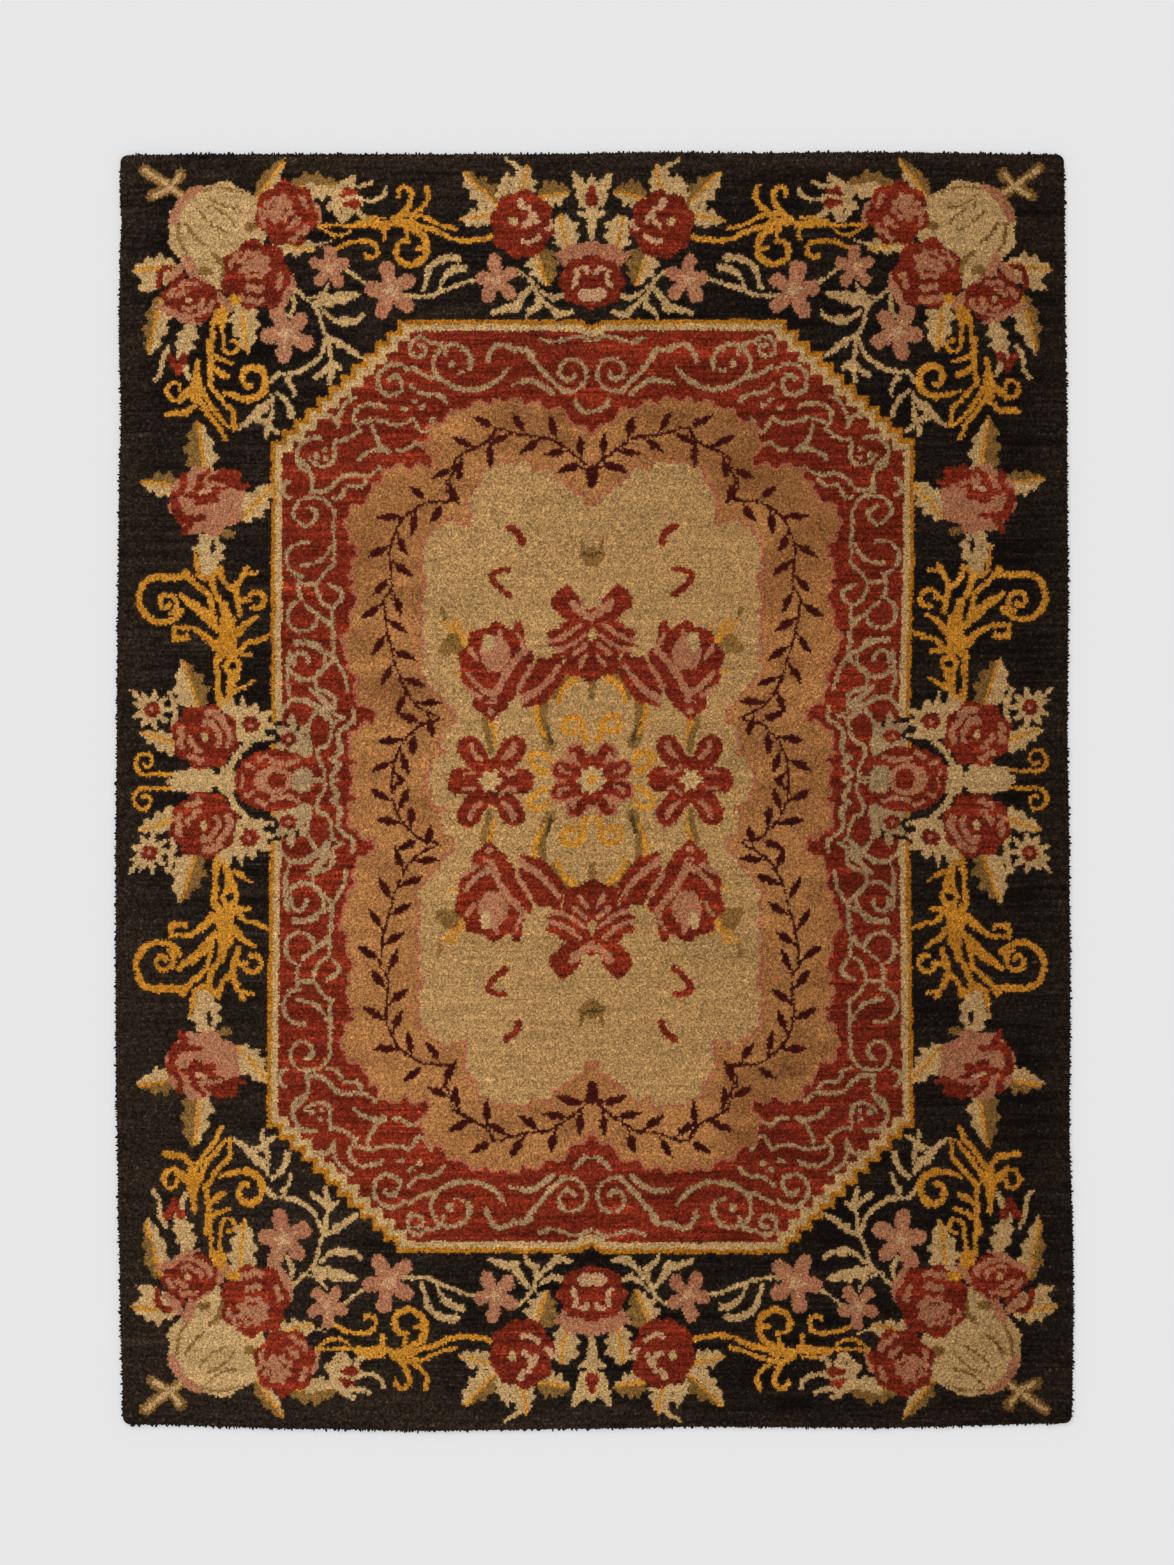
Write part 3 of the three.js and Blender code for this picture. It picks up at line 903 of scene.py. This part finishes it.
KNOT = 0.0034
CORNER = 0.015
SHOULDER = ((0.0030, 0.0006), (0.0000, 0.0045), (0.0006, 0.0085), (0.0028, 0.0108))
PILE_TOP = 0.0120
SHOULDER_DEPTH = 0.0058
KNOT_SHIFT = 0.00055
KNOT_RISE = 0.00042
RISE_LAYERS = ((0.0003, 3, 3), (0.0004, 14, 60), (0.0005, 60, 60))
UV_MARGIN = 0.004


def lines(low, high):
    """Places across the rug as shares from 0 to 1, and the pile's height at each."""
    count = int(round((high - low - 2 * SHOULDER_DEPTH) / KNOT))
    inner = np.linspace(SHOULDER_DEPTH, high - low - SHOULDER_DEPTH, count)
    insets = np.array([row[0] for row in SHOULDER])
    heights = np.array([row[1] for row in SHOULDER])
    places = np.concatenate([insets, inner, (high - low) - insets[::-1]])
    tops = np.concatenate([heights, np.full(count, PILE_TOP), heights[::-1]])
    return places / (high - low), tops


share_x, top_x = lines(cad_low.x, cad_high.x)
share_y, top_y = lines(cad_low.y, cad_high.y)
rough_x = cad_low.x + share_x * (cad_high.x - cad_low.x)
rough_y = cad_low.y + share_y * (cad_high.y - cad_low.y)
grid_x = left_x(rough_y)[:, None] + share_x[None, :] * (right_x(rough_y) - left_x(rough_y))[:, None]
grid_y = near_y(rough_x)[None, :] + share_y[:, None] * (far_y(rough_x) - near_y(rough_x))[None, :]
grid_z = np.minimum(top_y[:, None], top_x[None, :])


def rounded(x, y):
    """Draws each square corner of the grid in to an arc."""
    half_x = np.where(x > 0, right_x(y), -left_x(y))
    half_y = np.where(y > 0, far_y(x), -near_y(x))
    into_x = CORNER - (half_x - np.abs(x))
    into_y = CORNER - (half_y - np.abs(y))
    inside = (into_x > 0) & (into_y > 0)
    pull = np.where(inside, np.maximum(into_x, into_y) / np.hypot(into_x, into_y).clip(1e-9), 1)
    new_x = np.where(inside, np.sign(x) * (np.abs(x) - into_x * (1 - pull)), x)
    new_y = np.where(inside, np.sign(y) * (np.abs(y) - into_y * (1 - pull)), y)
    return new_x, new_y


grid_x, grid_y = rounded(grid_x, grid_y)
pile = np.minimum(grid_z / PILE_TOP, 1) ** 3
grid_x = grid_x + pile * KNOT_SHIFT * grain.standard_normal(grid_x.shape).clip(-2, 2)
grid_y = grid_y + pile * KNOT_SHIFT * grain.standard_normal(grid_x.shape).clip(-2, 2)
uneven = KNOT_RISE * grain.standard_normal(grid_x.shape).clip(-2, 2)
uneven += layered_noise(grid_x.shape, RISE_LAYERS)
grid_z = grid_z + pile * uneven


def face_middles(values):
    """The mean of each face's four corners."""
    return 0.25 * (values[:-1, :-1] + values[1:, :-1] + values[:-1, 1:] + values[1:, 1:])


JITTER = 0.2 * STITCH
face_x = face_middles(grid_x)
face_y = face_middles(grid_y)
asked_x = face_x + JITTER * grain.standard_normal(face_x.shape)
asked_y = face_y + JITTER * grain.standard_normal(face_x.shape)
face_colours = knot_colours(dye_at(asked_x, asked_y), face_x, face_y)
# points take the mean of the knots round them
point_colours = face_middles(np.pad(face_colours, ((1, 1), (1, 1), (0, 0)), mode="edge"))


def quads(number):
    """The faces of a grid, each as its four points' numbers."""
    sides = (number[:-1, :-1], number[:-1, 1:], number[1:, 1:], number[1:, :-1])
    return np.stack(sides, axis=-1).reshape(-1, 4)


def grid_mesh(name, x, y, z):
    """A mesh from a grid of points, facing up, with a flat UV map."""
    rows, columns = x.shape
    mesh = bpy.data.meshes.new(name)
    faces = quads(np.arange(rows * columns).reshape(rows, columns))
    mesh.vertices.add(rows * columns)
    mesh.vertices.foreach_set("co", np.stack([x, y, z], axis=-1).astype(np.float32).ravel())
    mesh.loops.add(faces.size)
    mesh.loops.foreach_set("vertex_index", faces.ravel().astype(np.int32))
    mesh.polygons.add(len(faces))
    mesh.polygons.foreach_set("loop_start", np.arange(0, faces.size, 4, dtype=np.int32))
    mesh.update(calc_edges=True)
    mesh.validate()
    flat_u = np.broadcast_to(np.linspace(UV_MARGIN, 1 - UV_MARGIN, columns)[None, :], x.shape)
    flat_v = np.broadcast_to(np.linspace(UV_MARGIN, 1 - UV_MARGIN, rows)[:, None], x.shape)
    layer = mesh.uv_layers.new(name="OFBake")
    places = np.stack([flat_u.ravel()[faces], flat_v.ravel()[faces]], axis=-1)
    layer.data.foreach_set("uv", places.astype(np.float32).ravel())
    return mesh


def add_object(name, mesh, material):
    """An object in the scene, of one mesh and one material."""
    made = bpy.data.objects.new(name, mesh)
    bpy.context.scene.collection.objects.link(made)
    mesh.materials.append(material)
    return made


def colour_layer(mesh, name, domain, colours):
    """Stores a colour for each face or each point of a mesh, under a name."""
    layer = mesh.attributes.new(name, "FLOAT_COLOR", domain)
    flat = colours.reshape(-1, 3)
    opaque = np.column_stack([flat, np.ones(len(flat))])
    layer.data.foreach_set("color", opaque.astype(np.float32).ravel())


# Materials

def feed(tree, node, inputs):
    """Sets a node's inputs, each to a constant or linked from another node's output."""
    for name, value in inputs.items():
        if isinstance(value, bpy.types.NodeSocket):
            tree.links.new(value, node.inputs[name])
        else:
            node.inputs[name].default_value = value


def add_node(tree, kind, inputs, **settings):
    """A new node with its settings and its inputs."""
    node = tree.nodes.new(f"ShaderNode{kind}")
    for name, value in settings.items():
        setattr(node, name, value)
    feed(tree, node, inputs)
    return node


def new_material(name):
    """A new material, with its node tree and its shader."""
    material = bpy.data.materials.new(name)
    material.use_nodes = True
    return material, material.node_tree, material.node_tree.nodes["Principled BSDF"]


def noise(tree, place, scale, detail, rough):
    """Cloudy values about the middle of 0 to 1."""
    inputs = {"Scale": scale, "Detail": detail, "Roughness": rough, "Vector": place}
    return add_node(tree, "TexNoise", inputs).outputs["Fac"]


def ramp(tree, source, low, high, dark, light):
    """Maps a source from low and high to dark and light."""
    inputs = {"From Min": low, "From Max": high, "To Min": dark, "To Max": light, "Value": source}
    return add_node(tree, "MapRange", inputs).outputs["Result"]


def calculate(tree, operation, first, second):
    """One step of arithmetic."""
    return add_node(tree, "Math", {0: first, 1: second}, operation=operation).outputs["Value"]


def mixed(tree, share, first, second):
    """Some share of the second colour in the first."""
    return add_node(tree, "Mix", {"Factor": share, 6: first, 7: second}, data_type="RGBA").outputs[2]


def dress(tree, shader, colour, depth, height, strength, distance):
    """Gives a shader a colour made deeper or lighter by a depth, which carries painted shade and highlight,
    and bumps it by a height.
    """
    shaded = add_node(tree, "VectorMath", {0: colour, "Scale": depth}, operation="SCALE")
    bump = add_node(tree, "Bump", {"Strength": strength, "Distance": distance, "Height": height})
    feed(tree, shader, {"Base Color": shaded.outputs["Vector"], "Normal": bump.outputs["Normal"]})


def pile_material():
    """Cut wool: each knot's own dye, mixed a little with its neighbours', in the ends of fine fibres, with
    painted shade between the tufts and painted highlight and shade along the fibres.
    """
    material, tree, shader = new_material("cut_wool_pile")
    place = add_node(tree, "TexCoord", {}).outputs["Object"]
    knot = add_node(tree, "Attribute", {}, attribute_name="knot_colour").outputs["Color"]
    blend = add_node(tree, "Attribute", {}, attribute_name="blend_colour").outputs["Color"]
    fibres = noise(tree, place, 520.0, 4.0, 0.7)
    clumps = noise(tree, place, 190.0, 3.0, 0.6)
    colour = mixed(tree, ramp(tree, fibres, 0.42, 0.62, 0.0, 0.45), knot, blend)
    voronoi = add_node(tree, "TexVoronoi", {"Scale": 300.0, "Randomness": 0.85, "Vector": place})
    tufts = voronoi.outputs["Distance"]
    # painted shade: the pile darker away from each tuft's middle
    painted_gap_shade = ramp(tree, tufts, 0.3, 0.75, 1.1, 0.5)
    # painted highlight on the fibres, with painted shade between them
    painted_fibre_light = ramp(tree, fibres, 0.3, 0.7, 0.62, 1.42)
    # patches some millimetres across, a little paler or deeper
    clump_tone = ramp(tree, clumps, 0.3, 0.7, 0.86, 1.14)
    depth = calculate(tree, "MULTIPLY", calculate(tree, "MULTIPLY", painted_gap_shade, painted_fibre_light), clump_tone)
    height = calculate(tree, "SUBTRACT", fibres, calculate(tree, "MULTIPLY", tufts, 1.1))
    dress(tree, shader, colour, depth, height, strength=0.7, distance=0.0014)
    feed(tree, shader, {
        "Roughness": 0.95, "Specular IOR Level": 0.05, "Sheen Weight": 0.015, "Sheen Roughness": 0.5,
    })
    return material


THREADS = {"Scale": 165.0, "Distortion": 0.8, "Detail": 2.0, "Detail Scale": 3.0}
CLOTH_SHADES = ((118, 96, 68), (158, 134, 100))


def backing_material():
    """The woven ground cloth seen from below: two sets of threads crossing, with slubs and stains, and
    painted shade between the threads.
    """
    material, tree, shader = new_material("woven_ground_cloth")
    place = add_node(tree, "TexCoord", {}).outputs["Object"]
    threads = []
    for direction in ("X", "Y"):
        bands_node = add_node(tree, "TexWave", {**THREADS, "Vector": place}, bands_direction=direction)
        threads.append(bands_node.outputs["Fac"])
    weave = calculate(tree, "MAXIMUM", *threads)
    slubs = noise(tree, place, 45.0, 4.0, 0.65)
    stains = noise(tree, place, 3.0, 4.0, 0.6)
    shades = [(*linear(shade), 1) for shade in CLOTH_SHADES]
    colour = mixed(tree, ramp(tree, stains, 0.3, 0.7, 0.0, 1.0), *shades)
    # painted shade between the threads, and a faint painted highlight on them
    painted_hollow_shade = ramp(tree, weave, 0.2, 1.0, 0.6, 1.08)
    lumps = ramp(tree, slubs, 0.3, 0.7, 0.82, 1.12)
    depth = calculate(tree, "MULTIPLY", painted_hollow_shade, lumps)
    dress(tree, shader, colour, depth, weave, strength=0.6, distance=0.0008)
    feed(tree, shader, {"Roughness": 0.9, "Specular IOR Level": 0.2})
    return material


wool = pile_material()

# The pile in five bands across the rug, each one mesh

BANDS = 5
bands = []
cuts = np.linspace(0, grid_x.shape[0] - 1, BANDS + 1).round().astype(int)
for number, (first, last) in enumerate(zip(cuts, cuts[1:]), 1):
    part = slice(first, last + 1)
    name = f"pile_band_{number}"
    mesh = grid_mesh(name, grid_x[part], grid_y[part], grid_z[part])
    colour_layer(mesh, "knot_colour", "FACE", face_colours[first:last])
    colour_layer(mesh, "blend_colour", "POINT", point_colours[part])
    mesh.shade_smooth()
    bands.append(add_object(name, mesh, wool))

# Loose tufts that stand out past the edges

TUFT_GAP = 0.0036
TUFT_SHIFT = 0.4
TUFT_SIDES = 4
TUFT_ROOT = 0.0022
TUFT_SHADE = (44, 35, 27)
TUFT_HEIGHTS = (0.002, 0.0095)
TUFT_WIDTHS = (0.0014, 0.003)
LEAST_REACH = 0.0012
USUAL_REACH = 0.0013
LONG_REACH = 0.0026
LONG_SHARE = 0.1
MOST_REACH = 0.006
FLOOR_GAP = 0.0004

# Each row: how far along a tuft, and how much of its width it has there
TUFT_RINGS = ((0.0, 1.0), (0.6, 0.85), (0.9, 0.5))


def perimeter_points():
    """Places round the outline with the way out at each, evenly spaced with some chance."""
    places = []
    for line_at, low, high, vertical, sign in (
        (right_x, -STRAIGHT_Y, STRAIGHT_Y, True, 1), (left_x, -STRAIGHT_Y, STRAIGHT_Y, True, -1),
        (far_y, -STRAIGHT_X, STRAIGHT_X, False, 1), (near_y, -STRAIGHT_X, STRAIGHT_X, False, -1),
    ):
        for along in np.arange(low, high, TUFT_GAP):
            along = along + grain.uniform(-TUFT_SHIFT, TUFT_SHIFT) * TUFT_GAP
            out = float(line_at(along))
            places.append((out, along, sign, 0) if vertical else (along, out, 0, sign))
    return places


def tuft_mesh():
    """All the loose tufts as one mesh of small tapered wisps."""
    points = []
    faces = []
    shades = []
    for x, y, out_x, out_y in perimeter_points():
        height = grain.uniform(*TUFT_HEIGHTS)
        reach = LEAST_REACH + USUAL_REACH * grain.exponential()
        reach = reach + LONG_REACH * (grain.uniform() < LONG_SHARE)
        length = min(reach, MOST_REACH) + TUFT_ROOT
        wide = grain.uniform(*TUFT_WIDTHS)
        drift = grain.uniform(-0.6, 0.6)
        lift = grain.uniform(-0.45, 0.35)
        way = np.array([out_x + drift * abs(out_y), out_y + drift * abs(out_x), lift])
        way = way / np.linalg.norm(way)
        across = np.cross(way, (0, 0, 1))
        across = across / np.linalg.norm(across)
        upward = np.cross(across, way)
        root = np.array([x, y, height]) - TUFT_ROOT * np.array([out_x, out_y, 0])
        dye = linear(TUFT_SHADE) * np.exp(0.25 * grain.standard_normal())
        start = len(points)
        for share, thick in TUFT_RINGS:
            for side in range(TUFT_SIDES):
                angle = 2 * np.pi * side / TUFT_SIDES
                rim = thick * wide * (np.cos(angle) * across + np.sin(angle) * upward)
                points.append(root + way * share * length + rim)
        points.append(root + way * length)
        tip = len(points) - 1
        for ring in range(start, tip, TUFT_SIDES):
            for side in range(TUFT_SIDES):
                a = ring + side
                b = ring + (side + 1) % TUFT_SIDES
                last = ring + TUFT_SIDES == tip
                faces.append((a, b, tip) if last else (a, b, b + TUFT_SIDES, a + TUFT_SIDES))
        shades += [dye] * (len(points) - start)
    places = np.array(points)
    places[:, 2] = places[:, 2].clip(FLOOR_GAP)
    mesh = bpy.data.meshes.new("edge_tufts")
    mesh.from_pydata(places.tolist(), [], faces)
    mesh.update()
    for name in ("knot_colour", "blend_colour"):
        colour_layer(mesh, name, "POINT", np.array(shades))
    mesh.shade_smooth()
    return mesh


tufts = add_object("edge_tufts", tuft_mesh(), wool)

# The ground cloth under the pile, a thin closed sheet

CLOTH_INSET = 0.0032
CLOTH_LOW = 0.0002
CLOTH_HIGH = 0.0024
CLOTH_COLUMNS = 61
CLOTH_ROWS = 81


def cloth_mesh():
    """A thin slab that follows the rug's outline just inside the pile."""
    fine_x = np.linspace(0, 1, CLOTH_COLUMNS)
    fine_y = np.linspace(0, 1, CLOTH_ROWS)
    at_x = cad_low.x + fine_x * (cad_high.x - cad_low.x)
    at_y = cad_low.y + fine_y * (cad_high.y - cad_low.y)
    left = left_x(at_y) + CLOTH_INSET
    right = right_x(at_y) - CLOTH_INSET
    near = near_y(at_x) + CLOTH_INSET
    far = far_y(at_x) - CLOTH_INSET
    x = left[:, None] + fine_x[None, :] * (right - left)[:, None]
    y = near[None, :] + fine_y[:, None] * (far - near)[None, :]
    x, y = rounded(x, y)
    count = x.size
    low = np.stack([x, y, np.full(x.shape, CLOTH_LOW)], axis=-1).reshape(-1, 3)
    high = np.stack([x, y, np.full(x.shape, CLOTH_HIGH)], axis=-1).reshape(-1, 3)
    number = np.arange(count).reshape(x.shape)
    tops = quads(number)
    rim = np.concatenate([number[0, :-1], number[:-1, -1], number[-1, :0:-1], number[:0:-1, 0]])
    ahead = np.roll(rim, -1)
    walls = np.stack([rim, ahead, ahead + count, rim + count], axis=-1)
    faces = np.vstack([tops[:, ::-1], tops + count, walls])
    mesh = bpy.data.meshes.new("ground_cloth")
    mesh.from_pydata(np.vstack([low, high]).tolist(), [], faces.tolist())
    mesh.update()
    return mesh


cloth = add_object("ground_cloth", cloth_mesh(), backing_material())

# Floor, light and camera

FLOOR_HALF = 30.0
floor_mesh = bpy.data.meshes.new("floor")
floor_corners = [(x * FLOOR_HALF, y * FLOOR_HALF, 0) for x, y in ((-1, -1), (1, -1), (1, 1), (-1, 1))]
floor_mesh.from_pydata(floor_corners, [], [(0, 1, 2, 3)])
floor_material, floor_tree, floor_shader = new_material("pale_floor")
feed(floor_tree, floor_shader, {
    "Base Color": (0.4, 0.4, 0.4, 1), "Emission Color": (1, 1, 1, 1), "Emission Strength": 0.41,
    "Roughness": 0.9, "Specular IOR Level": 0.1,
})
floor = add_object("floor", floor_mesh, floor_material)

world = bpy.data.worlds.new("soft_room")
bpy.context.scene.world = world
world.use_nodes = True
feed(world.node_tree, world.node_tree.nodes["Background"], {"Color": (1, 1, 1, 1), "Strength": 0.72})

lamp = bpy.data.lights.new("soft_key", "SUN")
lamp.energy = 1.0
lamp.angle = 0.6
key = bpy.data.objects.new("soft_key", lamp)
key.rotation_euler = (np.radians(-32), np.radians(-24), 0)
bpy.context.scene.collection.objects.link(key)

# The frame is as tall as the photograph: its pixels times the size of one on the rug

FRAME_HEIGHT = 1565
FRAME_SPAN = FRAME_HEIGHT * STITCH
AIM_X = -0.0144
AIM_Y = 0.0173
CAMERA_HEIGHT = 9.0
camera_data = bpy.data.cameras.new("camera")
camera_data.sensor_fit = "VERTICAL"
camera_data.sensor_height = 24.0
camera_data.lens = camera_data.sensor_height * (CAMERA_HEIGHT - PILE_TOP) / FRAME_SPAN
camera = bpy.data.objects.new("camera", camera_data)
camera.location = (AIM_X, AIM_Y, CAMERA_HEIGHT)
bpy.context.scene.collection.objects.link(camera)
bpy.context.scene.camera = camera
bpy.context.scene.view_settings.view_transform = "Standard"

for piece in (*bands, tufts, cloth):
    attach(piece, "root")
    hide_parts("rug")
